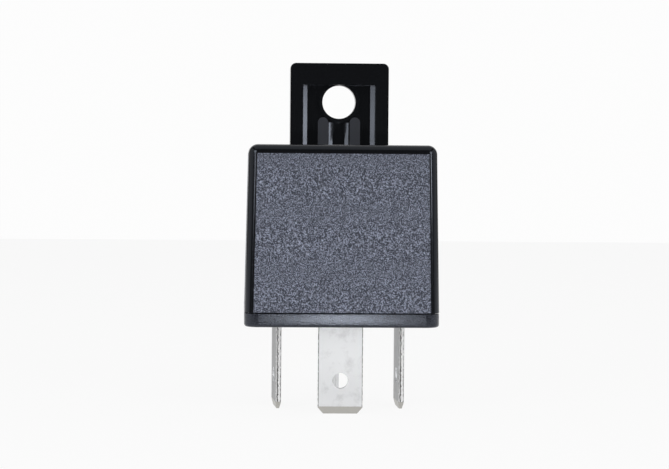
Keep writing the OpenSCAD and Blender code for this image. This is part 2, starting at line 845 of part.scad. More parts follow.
// The bow starts above the yoke, its two handles shape it, and it ends on the yoke's back
bow_start = 0.5;
bow_reach = 2.7;
bow_out = 1.2;
bow_drop = 1;
leg_drop = 4.6;
bow_steps = 12;
spring_bow = [
    turned(yoke_out_y - bow_start, spring_mid_z),
    turned(yoke_out_y + bow_reach, spring_mid_z),
    [spring_leg_y + bow_out, pole_z - bow_drop],
    [spring_leg_y, pole_z - leg_drop]
];
spring_line = concat(
    [turned(tip_y, spring_mid_z)],
    [for (i = [0:bow_steps]) bezier(spring_bow, i / bow_steps)],
    [[spring_leg_y, spring_low_z]]
);

function flat_heading(path, i) =
    unit((i == 0 ? [0, 0] : unit(path[i] - path[i - 1]))
        + (i == len(path) - 1 ? [0, 0] : unit(path[i + 1] - path[i])));
function beside(path, distance) = [
    for (i = [0:len(path) - 1])
        let (h = flat_heading(path, i)) path[i] + distance * [-h[1], h[0]]
];
function reversed(path) = [for (i = [len(path) - 1:-1:0]) path[i]];

module contact_spring() {
    narrow_y = bobbin_front_y - 2 * loose;
    taper_y = narrow_y + taper_len;
    tip_r = spring_tip_w / 2;
    color([0.76, 0.60, 0.36])
        difference() {
            intersection() {
                side_profile(spring_w)
                    polygon(concat(
                        beside(spring_line, spring_t / 2),
                        reversed(beside(spring_line, -spring_t / 2))
                    ));
                linear_extrude(roof_z)
                    polygon([
                        [-tip_r, tip_y - over], [tip_r, tip_y - over],
                        [tip_r, narrow_y], [spring_w / 2, taper_y],
                        [spring_w / 2, body_w / 2], [-spring_w / 2, body_w / 2],
                        [-spring_w / 2, taper_y], [-tip_r, narrow_y]
                    ]);
            }
            released() {
                for (x = [-rivet_x, rivet_x])
                    translate([x, armature_rivet_y, armature_low_z])
                        cylinder(d = rivet_d + touch, h = armature_t + over, $fn = sides);
                translate([0, -contact_y, armature_low_z])
                    cylinder(d = contact_shank_d, h = armature_t + over, $fn = sides);
            }
            for (x = [-rivet_x, rivet_x])
                translate([x, yoke_out_y + over, yoke_rivet_z])
                    rotate([90, 0, 0])
                        cylinder(d = rivet_d + touch, h = 2 * over, $fn = sides);
        }
}

module armature_rivets() {
    grip = armature_t + spring_t + 2 * touch;
    color([0.72, 0.70, 0.66])
        released()
            for (x = [-rivet_x, rivet_x])
                translate([x, armature_rivet_y, armature_low_z])
                    rivet(rivet_d, grip, rivet_head_d, rivet_head_h);
}

module yoke_rivets() {
    grip = yoke_t + spring_t + 2 * touch;
    color([0.72, 0.70, 0.66])
        for (x = [-rivet_x, rivet_x])
            translate([x, yoke_in_y, yoke_rivet_z])
                rotate([-90, 0, 0]) rivet(rivet_d, grip, rivet_head_d, rivet_head_h);
}

module moving_contact() {
    color([0.84, 0.83, 0.80])
        released()
            translate([0, -contact_y, armature_top_z])
                contact_rivet(spring_t + 2 * touch);
}

module fixed_contact() {
    color([0.84, 0.83, 0.80])
        translate([0, -contact_y, tab_top_z])
            mirror([0, 0, 1]) contact_rivet(blade_t);
}

// A bent strip that stops the contact spring when the coil is off
module rest_stop() {
    out_x = coil_blade_x + stop_t / 2;
    color([0.74, 0.66, 0.42])
        front_profile(-contact_y - stop_w / 2, -contact_y + stop_w / 2)
            translate([out_x, stop_high_z])
                rotate(180)
                    bent_strip(out_x + tail_head_d / 2, stop_high_z - plug_z + stop_foot,
                        stop_t, strip_bend_r);
}

// ---- Coil leads and resistor ----

// A place beside a coil blade: dx outwards and dy backwards from its middle, in its own turn
function beside_blade(side, turn, dx, dy, z) = [
    side * coil_blade_x + side * dx * cos(turn) - dy * sin(turn),
    side * dx * sin(turn) + dy * cos(turn),
    z
];

// From the winding to the front prong, then round it
wrap_x = blade_t / 2 + wire_d / 2 + touch;
wrap_y = prong_w / 2 + wire_d / 2 + touch;
wrap_pitch = wire_d + touch;
wrap_corners = [[-1, -1], [1, -1], [1, 1], [-1, 1]];
leave_angle = 12;
leave_r = winding_d / 2 + wire_d / 2 + touch;

module coil_lead(side, turn) {
    color([0.72, 0.36, 0.16])
        wire(concat(
            [[side * leave_r * cos(leave_angle), coil_y - leave_r * sin(leave_angle), lead_z]],
            [
                for (k = [0:4 * wrap_turns])
                    beside_blade(side, turn, wrap_corners[k % 4][0] * wrap_x,
                        -prong_y + wrap_corners[k % 4][1] * wrap_y, lead_z + k * wrap_pitch / 4)
            ]
        ), wire_d);
}

module coil_lead_85() { coil_lead(-1, turn_85); }
module coil_lead_86() { coil_lead(1, turn_86); }

bend_steps = 5;

module resistor() {
    color([0.33, 0.50, 0.58])
        translate([0, resistor_y, resistor_z])
            rotate([0, 90, 0]) {
                cylinder(d = resistor_d - 2 * resistor_waist, h = resistor_len - resistor_cap,
                    center = true, $fn = sides);
                for (side = [-1, 1])
                    translate([0, 0, side * (resistor_len - resistor_cap) / 2])
                        cylinder(d = resistor_d, h = resistor_cap, center = true, $fn = sides);
            }
}

// A lead leaves the resistor, bends forward and lies along the outer side of the rear prong
module resistor_lead(side, turn) {
    out = blade_t / 2 + resistor_wire_d / 2 + touch;
    seat = beside_blade(side, turn, out, prong_y + prong_w / 2, resistor_z);
    last = beside_blade(side, turn, out, prong_y - prong_w / 2, resistor_z);
    along = (seat - last) / (seat[1] - last[1]);
    corner = last + along * (resistor_y - last[1]);
    bend = [corner - [side * lead_bend, 0, 0], corner, corner, corner - lead_bend * along];
    wire(concat(
        [[side * resistor_len / 2, resistor_y, resistor_z]],
        [for (i = [0:bend_steps]) bezier(bend, i / bend_steps)],
        [last]
    ), resistor_wire_d);
}

module resistor_leads() {
    color([0.80, 0.80, 0.78]) {
        resistor_lead(-1, turn_85);
        resistor_lead(1, turn_86);
    }
}

cover();
base();
sealing_resin();
blade_30();
blade_87();
blade_85();
blade_86();
yoke();
core();
bobbin();
coil_winding();
armature();
contact_spring();
armature_rivets();
yoke_rivets();
moving_contact();
fixed_contact();
rest_stop();
coil_lead_85();
coil_lead_86();
resistor();
resistor_leads();
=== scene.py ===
import json
import math

import bmesh
import bpy
from mathutils import Matrix, Vector


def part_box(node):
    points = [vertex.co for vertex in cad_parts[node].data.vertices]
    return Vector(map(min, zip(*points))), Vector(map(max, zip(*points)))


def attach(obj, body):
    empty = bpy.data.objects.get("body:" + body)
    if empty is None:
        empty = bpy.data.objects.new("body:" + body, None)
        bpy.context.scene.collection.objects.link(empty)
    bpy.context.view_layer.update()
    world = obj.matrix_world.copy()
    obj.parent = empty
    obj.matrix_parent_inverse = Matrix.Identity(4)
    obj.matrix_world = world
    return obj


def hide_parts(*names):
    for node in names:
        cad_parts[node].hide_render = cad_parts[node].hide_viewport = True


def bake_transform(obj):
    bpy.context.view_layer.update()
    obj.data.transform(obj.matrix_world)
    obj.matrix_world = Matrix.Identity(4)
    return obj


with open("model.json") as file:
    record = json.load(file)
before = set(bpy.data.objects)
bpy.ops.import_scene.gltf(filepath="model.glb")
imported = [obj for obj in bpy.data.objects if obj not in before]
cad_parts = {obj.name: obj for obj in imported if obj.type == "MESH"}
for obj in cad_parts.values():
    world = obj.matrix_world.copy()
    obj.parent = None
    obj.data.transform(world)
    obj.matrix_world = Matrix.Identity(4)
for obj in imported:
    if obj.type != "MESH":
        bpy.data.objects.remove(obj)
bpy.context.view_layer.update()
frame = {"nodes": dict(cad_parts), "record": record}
mm = 0.001
mergeGap = 0.0005 * mm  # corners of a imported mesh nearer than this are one
levelAngle = 0.4  # degrees; faces that meet at less are one flat face
nodes = frame["nodes"]
mounts = {m["name"]: m for m in frame["record"]["mounts"]}
print("relay: frame loaded,", len(nodes), "nodes")


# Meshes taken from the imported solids, with their edges softened

def newObject(name, mesh):
    obj = bpy.data.objects.new(name, mesh)
    bpy.context.scene.collection.objects.link(obj)
    return obj


def meshObject(name, bm):
    mesh = bpy.data.meshes.new(name)
    bm.to_mesh(mesh)
    bm.free()
    return newObject(name, mesh)


def applyAll(obj):  # the evaluated shape becomes the plain mesh
    depsgraph = bpy.context.evaluated_depsgraph_get()
    mesh = bpy.data.meshes.new_from_object(obj.evaluated_get(depsgraph))
    obj.modifiers.clear()
    obj.data = mesh
    return obj


def smooth(obj, angle=35):
    obj.data.shade_smooth()
    obj.data.set_sharp_from_angle(angle=math.radians(angle))
    weighted = obj.modifiers.new("normals", "WEIGHTED_NORMAL")
    weighted.keep_sharp = True
    weighted.weight = 60
    return applyAll(obj)


def softEdges(obj, width, segments=2, angle=30, flat=35, wider=None):
    bevel = obj.modifiers.new("edges", "BEVEL")
    bevel.width = width * mm
    bevel.segments = segments
    bevel.limit_method = "ANGLE"
    bevel.angle_limit = math.radians(angle)
    if wider:  # it gives each edge its share of the width
        bm = bmesh.new()
        bm.from_mesh(obj.data)
        weight = bm.edges.layers.float.new("bevel_weight_edge")
        for edge in bm.edges:
            if edge.is_manifold and edge.calc_face_angle() > math.radians(angle):
                edge[weight] = wider((edge.verts[0].co + edge.verts[1].co) / 2)
        bm.to_mesh(obj.data)
        bm.free()
        bevel.limit_method = "WEIGHT"
    bevel.use_clamp_overlap = True
    return smooth(applyAll(obj), flat)


def fromCad(node, name, width, segments=2, angle=30, flat=35, wider=None):
    bm = bmesh.new()
    bm.from_mesh(nodes[node].data)
    bmesh.ops.remove_doubles(bm, verts=bm.verts, dist=mergeGap)
    bmesh.ops.dissolve_limit(bm, angle_limit=math.radians(levelAngle), verts=bm.verts, edges=bm.edges)
    return softEdges(meshObject(name, bm), width, segments, angle, flat, wider)


def finishPiece(obj, material, body="housing", replaced=()):
    obj.data.materials.clear()
    obj.data.materials.append(material)
    if body:
        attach(obj, body)
    if replaced:
        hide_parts(*replaced)
    return obj


# Shader groups

def newGroup(name, inputs, outputs):
    group = bpy.data.node_groups.new(name, "ShaderNodeTree")
    for label, kind, default in inputs:
        socket = group.interface.new_socket(label, in_out="INPUT", socket_type="NodeSocket" + kind)
        if default is not None:
            socket.default_value = default
    for label, kind in outputs:
        group.interface.new_socket(label, in_out="OUTPUT", socket_type="NodeSocket" + kind)
    return group, group.nodes.new("NodeGroupInput"), group.nodes.new("NodeGroupOutput")


def math2(tree, operation, a, b=None, clamp=False):
    node = tree.nodes.new("ShaderNodeMath")
    node.operation = operation
    node.use_clamp = clamp
    for i, value in enumerate((a, b)):
        if value is None:
            continue
        if isinstance(value, (int, float)):
            node.inputs[i].default_value = value
        else:
            tree.links.new(value, node.inputs[i])
    return node.outputs[0]


def noise(tree, vector, scale, detail=2, roughness=0.5):
    node = tree.nodes.new("ShaderNodeTexNoise")
    for label, value in (("Scale", scale), ("Detail", detail), ("Roughness", roughness)):
        if isinstance(value, (int, float)):
            node.inputs[label].default_value = value
        else:
            tree.links.new(value, node.inputs[label])
    tree.links.new(vector, node.inputs["Vector"])
    return node.outputs["Fac"]


def ramp(tree, value, stops):  # stops are (place, grey)
    node = tree.nodes.new("ShaderNodeValToRGB")
    while len(node.color_ramp.elements) < len(stops):
        node.color_ramp.elements.new(0.5)
    for element, (place, grey) in zip(node.color_ramp.elements, stops):
        element.position = place
        element.color = (grey, grey, grey, 1)
    tree.links.new(value, node.inputs["Fac"])
    return node.outputs["Color"]


def mixColour(tree, factor, a, b, blend="MIX"):
    node = tree.nodes.new("ShaderNodeMix")
    node.data_type, node.blend_type = "RGBA", blend
    for index, value in ((0, factor), (6, a), (7, b)):
        if isinstance(value, (int, float)):
            node.inputs[index].default_value = value
        elif isinstance(value, tuple):
            node.inputs[index].default_value = value + (1,)
        else:
            tree.links.new(value, node.inputs[index])
    return node.outputs[2]


def scaleColour(tree, colour, factor):
    node = tree.nodes.new("ShaderNodeVectorMath")
    node.operation = "SCALE"
    node.inputs[0].default_value = colour
    tree.links.new(factor, node.inputs["Scale"])
    return node.outputs[0]


def grainGroup():  # fine spark-eroded grain: a height, and specks that lighten and darken a surface's colour as painted glints
    group, start, end = newGroup(
        "fineGrain",
        [("Vector", "Vector", None), ("Scale", "Float", 4200.0), ("Contrast", "Float", 4.0)],
        [("Height", "Float"), ("Speck", "Float")],
    )
    broadScale, broadShare, level = 0.4, 0.3, 0.65  # level is the grain's mean height
    fine = noise(group, start.outputs["Vector"], start.outputs["Scale"], 1, 0.5)
    coarse = math2(group, "MULTIPLY", start.outputs["Scale"], broadScale)
    broad = noise(group, start.outputs["Vector"], coarse, 1)
    height = math2(group, "ADD", fine, math2(group, "MULTIPLY", broad, broadShare))
    group.links.new(height, end.inputs["Height"])
    paintedGlintSpecks = math2(group, "SUBTRACT", height, level)
    group.links.new(math2(group, "MULTIPLY", paintedGlintSpecks, start.outputs["Contrast"]), end.inputs["Speck"])
    return group


def rollingGroup():  # faint lines along one axis of rolled strip, and cloudy patches of its plating
    group, start, end = newGroup(
        "rolledFinish",
        [("Vector", "Vector", None), ("Lines", "Float", 900.0), ("Patches", "Float", 350.0)],
        [("Lines", "Float"), ("Patches", "Float")],
    )
    squeeze = group.nodes.new("ShaderNodeMapping")
    squeeze.inputs["Scale"].default_value = (1, 1, 0.02)  # drawn out along the strip
    group.links.new(start.outputs["Vector"], squeeze.inputs["Vector"])
    lines = noise(group, squeeze.outputs["Vector"], start.outputs["Lines"], 4, 0.6)
    patches = noise(group, start.outputs["Vector"], start.outputs["Patches"], 4, 0.6)
    group.links.new(lines, end.inputs["Lines"])
    group.links.new(patches, end.inputs["Patches"])
    return group


fineGrain = grainGroup()
rolledFinish = rollingGroup()


def newMaterial(name):
    material = bpy.data.materials.new(name)
    material.use_nodes = True
    tree = material.node_tree
    return material, tree, tree.nodes["Principled BSDF"]


def placeGroup(tree, group, vector, **values):
    node = tree.nodes.new("ShaderNodeGroup")
    node.node_tree = group
    tree.links.new(vector, node.inputs["Vector"])
    for label, value in values.items():
        node.inputs[label].default_value = value
    return node.outputs


def objectCoordinates(tree, centre=(0, 0, 0), turn=0.0):
    coordinates = tree.nodes.new("ShaderNodeTexCoord")
    mapping = tree.nodes.new("ShaderNodeMapping")
    mapping.vector_type = "TEXTURE"  # the piece's own place and turn are taken off
    mapping.inputs["Location"].default_value = centre
    mapping.inputs["Rotation"].default_value = (0, 0, turn)
    tree.links.new(coordinates.outputs["Object"], mapping.inputs["Vector"])
    return mapping.outputs["Vector"]


def bump(tree, shader, height, distance):  # distance in millimetres
    node = tree.nodes.new("ShaderNodeBump")
    node.inputs["Strength"].default_value = 1.0
    node.inputs["Distance"].default_value = distance * mm
    tree.links.new(height, node.inputs["Height"])
    tree.links.new(node.outputs["Normal"], shader.inputs["Normal"])


# Plastics

coverLow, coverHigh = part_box("cover")
cornerShare = 0.8  # so far from the middle there is roof and no bracket
roofZ = max(v.co.z for v in nodes["cover"].data.vertices if abs(v.co.x) > cornerShare * coverHigh.x)
plastic = {
    "smooth": (0.0034, 0.0036, 0.0042), "smoothRoughness": 0.13,
    # the grain's colour is lighter and bluer than the smooth plastic's: painted sheen of light scattered
    # by the grain, in the blue of the light
    "grainWithPaintedSheen": (0.114, 0.124, 0.160), "grainRoughness": 0.6, "grainSize": 6500.0, "grainDepth": 0.06,
    "grainContrast": 10.0, "grainFloor": 0.3,  # the darkest speck's share of the grain's colour
    # the plastic's reflections are tinted blue: painted colour of the bluish light
    "paintedBlueLightTint": (0.78, 0.85, 1.0, 1),
    "edgeRadius": 1.2,  # the grain stops where the rounding of the edges starts
    "draft": 1.05,  # degrees that the walls lean in
    "faceBand": 0.1,  # a point this far inside a wall's face still counts as on it
    "maskSlope": 12000.0,  # how sharply the grain ends
    "pads": (0.03, 0.031, 0.036),  # the matt front of the two ribs, and below where it lies
    "padFront": 2.0, "padLow": 1.5, "padHigh": 3.1, "padBand": 0.15,
}


def coverPlastic():
    material, tree, shader = newMaterial("coverPlastic")
    vector = objectCoordinates(tree)
    grainWithPaintedSheen = placeGroup(tree, fineGrain, vector,
                       Scale=plastic["grainSize"], Contrast=plastic["grainContrast"])
    split = tree.nodes.new("ShaderNodeSeparateXYZ")
    tree.links.new(vector, split.inputs[0])
    x = math2(tree, "ABSOLUTE", split.outputs[0])
    y = math2(tree, "ABSOLUTE", split.outputs[1])
    z = split.outputs[2]
    rise = math2(tree, "SUBTRACT", z, coverLow.z)
    lean = math2(tree, "MULTIPLY", rise, math.tan(math.radians(plastic["draft"])))
    half = math2(tree, "SUBTRACT", coverHigh.x, lean)
    flat = math2(tree, "SUBTRACT", half, plastic["edgeRadius"] * mm)
    wide = math2(tree, "MINIMUM", x, y)  # on a side face the smaller of the two runs along the face
    far = math2(tree, "MAXIMUM", x, y)
    face = math2(tree, "SUBTRACT", half, plastic["faceBand"] * mm)
    within = math2(tree, "MINIMUM", math2(tree, "SUBTRACT", flat, wide),
                   math2(tree, "SUBTRACT", roofZ - plastic["edgeRadius"] * mm, z))
    within = math2(tree, "MINIMUM", within, math2(tree, "SUBTRACT", far, face))
    mask = math2(tree, "MULTIPLY", within, plastic["maskSlope"], clamp=True)
    padMask = math2(tree, "COMPARE", split.outputs[1], plastic["padFront"] * mm)
    padMask.node.inputs[2].default_value = plastic["padBand"] * mm
    for bound in (math2(tree, "GREATER_THAN", x, plastic["padLow"] * mm),
                  math2(tree, "LESS_THAN", x, plastic["padHigh"] * mm),
                  math2(tree, "GREATER_THAN", z, roofZ)):
        padMask = math2(tree, "MULTIPLY", padMask, bound)
    # the specks lighten and darken the grain's colour: painted glints of the spark-eroded grain
    paintedGlintSpecks = math2(tree, "MAXIMUM", math2(tree, "ADD", grainWithPaintedSheen["Speck"], 1.0), plastic["grainFloor"])
    smoothColour = mixColour(tree, padMask, plastic["smooth"], plastic["pads"])
    # the grained area gets the raised colour: painted sheen over the plastic's own black
    colour = mixColour(tree, mask, smoothColour, scaleColour(tree, plastic["grainWithPaintedSheen"], paintedGlintSpecks))
    tree.links.new(colour, shader.inputs["Base Color"])
    span = plastic["grainRoughness"] - plastic["smoothRoughness"]
    matt = math2(tree, "MAXIMUM", mask, padMask)
    roughness = math2(tree, "ADD", math2(tree, "MULTIPLY", matt, span), plastic["smoothRoughness"])
    tree.links.new(roughness, shader.inputs["Roughness"])
    # painted blue light in the reflections
    shader.inputs["Specular Tint"].default_value = plastic["paintedBlueLightTint"]
    bump(tree, shader, math2(tree, "MULTIPLY", grainWithPaintedSheen["Height"], mask), plastic["grainDepth"])
    return material


satin = {
    # the satin's colour is tinted blue: painted colour of the bluish light over the plastic's own dark
    # grey
    "colour": (0.021, 0.023, 0.030), "roughness": 0.15, "grainSize": 6500.0, "grainContrast": 4.0,
    "grainDepth": 0.004,
}


def basePlastic():  # a satin surface with the same fine grain, much shallower
    material, tree, shader = newMaterial("basePlastic")
    grainWithPaintedSheen = placeGroup(tree, fineGrain, objectCoordinates(tree),
                       Scale=satin["grainSize"], Contrast=satin["grainContrast"])
    # the specks lighten and darken the satin's colour: painted glints of its fine grain
    paintedGlintSpecks = math2(tree, "ADD", grainWithPaintedSheen["Speck"], 1.0)
    tree.links.new(scaleColour(tree, satin["colour"], paintedGlintSpecks), shader.inputs["Base Color"])
    shader.inputs["Roughness"].default_value = satin["roughness"]
    shader.inputs["Specular Tint"].default_value = plastic["paintedBlueLightTint"]
    bump(tree, shader, grainWithPaintedSheen["Height"], satin["grainDepth"])
    return material


clouds = {"roughness": 0.12, "dark": 0.85, "light": 1.15}  # how far a smooth finish varies over its piece


def smoothPlastic(name, colour, roughness, unevenness, scale=1500.0):
    material, tree, shader = newMaterial(name)
    cloud = noise(tree, objectCoordinates(tree), scale, 3)
    spread = math2(tree, "MULTIPLY", math2(tree, "SUBTRACT", cloud, 0.5), clouds["roughness"])
    tree.links.new(math2(tree, "ADD", spread, roughness), shader.inputs["Roughness"])
    dark, light = (tuple(clouds[k] * c for c in colour) for k in ("dark", "light"))
    tree.links.new(mixColour(tree, cloud, dark, light), shader.inputs["Base Color"])
    bump(tree, shader, cloud, unevenness)
    return material


# Metals

rolled = {"lines": 900.0, "patches": 350.0, "dirt": 0.08, "uneven": 0.25, "wave": 0.004}


def metal(name, colour, roughness):
    material, tree, shader = newMaterial(name)
    finish = placeGroup(tree, rolledFinish, objectCoordinates(tree),
                        Lines=rolled["lines"], Patches=rolled["patches"])
    shade = ramp(tree, finish["Patches"], [(0.3, 1 - rolled["dirt"]), (0.55, 1.0)])
    tree.links.new(mixColour(tree, 1.0, colour, shade, "MULTIPLY"), shader.inputs["Base Color"])
    shader.inputs["Metallic"].default_value = 1.0
    uneven = math2(tree, "MULTIPLY", math2(tree, "SUBTRACT", finish["Lines"], 0.5), rolled["uneven"])
    tree.links.new(math2(tree, "ADD", uneven, roughness, clamp=True), shader.inputs["Roughness"])
    bump(tree, shader, finish["Lines"], rolled["wave"])
    return material


materials = {
    "cover": coverPlastic(),
    "base": basePlastic(),
    "resin": smoothPlastic("castResin", (0.02, 0.02, 0.022), 0.3, 0.03, 400.0),
    "iron": metal("platedIron", (0.60, 0.60, 0.58), 0.38),
    "bobbin": smoothPlastic("bobbinNylon", (0.62, 0.57, 0.44), 0.5, 0.01),
    "copper": metal("enamelledCopper", (0.55, 0.22, 0.09), 0.28),
    "bronze": metal("springBronze", (0.70, 0.50, 0.26), 0.32),
    "rivets": metal("rivetMetal", (0.66, 0.64, 0.58), 0.3),
    "silver": metal("contactSilver", (0.86, 0.85, 0.82), 0.25),
    "brass": metal("stopBrass", (0.72, 0.58, 0.28), 0.35),
    "resistor": smoothPlastic("resistorLacquer", (0.10, 0.22, 0.30), 0.3, 0.01),
    "wire": metal("tinnedWire", (0.78, 0.78, 0.77), 0.35),
}
print("relay: materials built")


# Pieces

holePlace = Vector(mounts["bracket_hole"]["pos_m"])


rounding = {
    "width": 0.35, "segments": 4, "flat": 14,  # degrees; faces that meet at more keep their edge
    "otherShare": 0.4,  # what the other edges have of the width
    "rimDrop": 1.2, "rimBack": 1.5,  # the upper front edge lies above and in front of these
    "ringInner": 2.7, "ringOuter": 3.1, "ringFront": 2.0, "ringBack": 3.0,
}


def coverEdge(middle):  # the bracket's upper front edge and the ring round the hole are the most rounded
    upper = middle.z > coverHigh.z - rounding["rimDrop"] * mm and middle.y < rounding["rimBack"] * mm
    away = math.hypot(middle.x, middle.z - holePlace.z)
    ring = rounding["ringInner"] * mm < away < rounding["ringOuter"] * mm
    ring = ring and rounding["ringFront"] * mm < middle.y < rounding["ringBack"] * mm
    return 1.0 if upper or ring else rounding["otherShare"]


cover = fromCad("cover", "coverShell", rounding["width"], rounding["segments"],
                flat=rounding["flat"], wider=coverEdge)
finishPiece(cover, materials["cover"], replaced=["cover"])
finishPiece(fromCad("base", "baseBody", 0.06), materials["base"], replaced=["base"])
finishPiece(fromCad("sealing_resin", "resinFill", 0.05), materials["resin"],
            replaced=["sealing_resin"])

blades = {
    "blade_87": {"mount": "detent_87", "turn": 0.0, "polish": 0.0},
    "blade_30": {"mount": "detent_30", "turn": 90.0, "polish": 0.85},
    "blade_85": {"mount": "detent_85", "turn": 94.6, "polish": 0.0},
    "blade_86": {"mount": "detent_86", "turn": 92.7, "polish": 0.0},
}
tin = {
    "face": (0.95, 0.96, 0.975), "faceRoughness": 0.38, "metallic": 0.85,
    "lines": 2500.0, "patches": 600.0, "smudge": 0.86, "uneven": 0.2, "wave": 0.003,
    "paintedShadeEdgeOn": 0.34,  # painted shade: what is left of a face's colour where it is seen edge on
    "tip": (0.50, 0.49, 0.46), "tipHeight": 1.02,
    "edge": [(0.0, 0.25), (0.12, 0.2), (0.18, 0.95), (0.52, 0.95), (0.58, 0.13), (0.70, 0.12), (0.76, 0.7),
             (0.9, 0.75), (0.95, 0.3), (1.0, 0.3)],  # shear and fracture zones through the thickness
    "ragged": 0.35, "fleckSize": 2600.0,  # how far the zones' borders waver
    "width": 6.3, "thick": 0.8, "chamfer": 0.14, "edgeShare": 0.9,  # of the chamfer, sheared like the edge
    "rounding": 0.04, "flat": 8,
}


def tinnedBrass(name, place, turn, polish):
    material, tree, shader = newMaterial(name)
    vector = objectCoordinates(tree, (place[0], place[1], 0), turn)
    finish = placeGroup(tree, rolledFinish, vector, Lines=tin["lines"], Patches=tin["patches"])
    flecks = placeGroup(tree, fineGrain, vector, Scale=tin["fleckSize"], Contrast=1.0)
    split = tree.nodes.new("ShaderNodeSeparateXYZ")
    tree.links.new(vector, split.inputs[0])
    across, through = math2(tree, "ABSOLUTE", split.outputs[0]), split.outputs[1]
    faceHalf = (tin["width"] / 2 - tin["chamfer"] * tin["edgeShare"]) * mm
    onEdge = math2(tree, "GREATER_THAN", across, faceHalf)
    depth = math2(tree, "ADD", math2(tree, "DIVIDE", through, tin["thick"] * mm), 0.5)
    ragged = math2(tree, "ADD", depth, math2(tree, "MULTIPLY", flecks["Speck"], tin["ragged"]))
    edge = mixColour(tree, polish, ramp(tree, ragged, tin["edge"]), tin["face"])
    smudge = ramp(tree, finish["Patches"], [(0.34, tin["smudge"]), (0.5, 1.0)])
    # the face's colour darkens where it is seen edge on: painted shade
    facing = tree.nodes.new("ShaderNodeLayerWeight")
    facing.inputs["Blend"].default_value = 0.5
    paintedGrazingShade = ramp(tree, facing.outputs["Facing"], [(0.6, 1.0), (0.9, tin["paintedShadeEdgeOn"])])
    face = mixColour(tree, 1.0, tin["face"], smudge, "MULTIPLY")
    face = mixColour(tree, 1.0, face, paintedGrazingShade, "MULTIPLY")
    atTip = math2(tree, "LESS_THAN", split.outputs[2], tin["tipHeight"] * mm)
    whole = mixColour(tree, atTip, mixColour(tree, onEdge, face, edge), tin["tip"])
    tree.links.new(whole, shader.inputs["Base Color"])
    shader.inputs["Metallic"].default_value = tin["metallic"]
    uneven = math2(tree, "MULTIPLY", math2(tree, "SUBTRACT", finish["Lines"], 0.5), tin["uneven"])
    roughness = math2(tree, "ADD", uneven, tin["faceRoughness"], clamp=True)
    tree.links.new(roughness, shader.inputs["Roughness"])
    bump(tree, shader, finish["Lines"], tin["wave"])
    return material


for node, blade in blades.items():
    place = mounts[blade["mount"]]["pos_m"]
    finish = tinnedBrass("tinned_" + node, place, math.radians(blade["turn"]), blade["polish"])
    piece = fromCad(node, "terminal_" + node[-2:], tin["rounding"], flat=tin["flat"])
    finishPiece(piece, finish, replaced=[node])
print("relay: housing and terminals made")

winding = {
    "wireDiameter": 0.3, "sides": 8, "stepsPerTurn": 48,
    "fill": 0.98,  # the turns keep this share of the wire, so they stay clear of each other
    "skin": 0.9,  # from this share of the radius outward is the body's outer face
    "flat": 50,
}


def windingTree():  # adds the outermost layer of turns, a helix of round wire, to the body of the coil
    tree = bpy.data.node_groups.new("windingTurns", "GeometryNodeTree")
    sockets = {}
    tree.interface.new_socket("Geometry", in_out="INPUT", socket_type="NodeSocketGeometry")
    for label, kind in (("Radius", "Float"), ("Height", "Float"), ("Turns", "Float"),
                        ("Wire Radius", "Float"), ("Steps", "Int"), ("Sides", "Int"),
                        ("Place", "Vector"), ("Material", "Material")):
        socket = tree.interface.new_socket(label, in_out="INPUT", socket_type="NodeSocket" + kind)
        sockets[label] = socket.identifier
    tree.interface.new_socket("Geometry", in_out="OUTPUT", socket_type="NodeSocketGeometry")
    start, end = tree.nodes.new("NodeGroupInput"), tree.nodes.new("NodeGroupOutput")
    helix = tree.nodes.new("GeometryNodeCurveSpiral")
    circle = tree.nodes.new("GeometryNodeCurvePrimitiveCircle")
    sweep = tree.nodes.new("GeometryNodeCurveToMesh")
    shift = tree.nodes.new("GeometryNodeTransform")
    join = tree.nodes.new("GeometryNodeJoinGeometry")
    realize = tree.nodes.new("GeometryNodeRealizeInstances")
    finish = tree.nodes.new("GeometryNodeSetMaterial")
    sweep.inputs["Fill Caps"].default_value = True
    for source, target in (
        (start.outputs["Steps"], helix.inputs["Resolution"]),
        (start.outputs["Turns"], helix.inputs["Rotations"]),
        (start.outputs["Radius"], helix.inputs["Start Radius"]),
        (start.outputs["Radius"], helix.inputs["End Radius"]),
        (start.outputs["Height"], helix.inputs["Height"]),
        (start.outputs["Wire Radius"], circle.inputs["Radius"]),
        (start.outputs["Sides"], circle.inputs["Resolution"]),
        (helix.outputs[0], sweep.inputs["Curve"]),
        (circle.outputs[0], sweep.inputs["Profile Curve"]),
        (sweep.outputs[0], shift.inputs["Geometry"]),
        (start.outputs["Place"], shift.inputs["Translation"]),
        (start.outputs["Geometry"], join.inputs[0]),
        (shift.outputs[0], join.inputs[0]),
        (join.outputs[0], realize.inputs[0]),
        (realize.outputs[0], finish.inputs["Geometry"]),
        (start.outputs["Material"], finish.inputs["Material"]),
        (finish.outputs[0], end.inputs[0]),
    ):
        tree.links.new(source, target)
    return tree, sockets


def woundCoil(material):
    low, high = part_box("coil_winding")
    centre, wire = (low + high) / 2, winding["wireDiameter"] * mm
    radius = (high.x - low.x) / 2
    bm = bmesh.new()
    bm.from_mesh(nodes["coil_winding"].data)
    bmesh.ops.remove_doubles(bm, verts=bm.verts, dist=mergeGap)
    for vert in bm.verts:  # the body under the turns stands in by half a wire
        away = Vector((vert.co.x - centre.x, vert.co.y - centre.y))
        if away.length > winding["skin"] * radius:
            away *= (radius - wire / 2) / away.length
            vert.co.x, vert.co.y = centre.x + away.x, centre.y + away.y
    obj = meshObject("windingTurns", bm)
    tree, sockets = windingTree()
    modifier = obj.modifiers.new("turns", "NODES")
    modifier.node_group = tree
    room = high.z - low.z - wire
    turns = math.floor(room / wire)
    values = {"Radius": radius - wire / 2, "Height": room, "Turns": float(turns),
              "Wire Radius": wire / 2 * winding["fill"],
              "Steps": winding["stepsPerTurn"], "Sides": winding["sides"],
              "Place": (centre.x, centre.y, low.z + wire / 2), "Material": material}
    for label, value in values.items():
        modifier[sockets[label]] = value
    return smooth(applyAll(obj), winding["flat"])


finishPiece(woundCoil(materials["copper"]), materials["copper"],
            replaced=["coil_winding"])

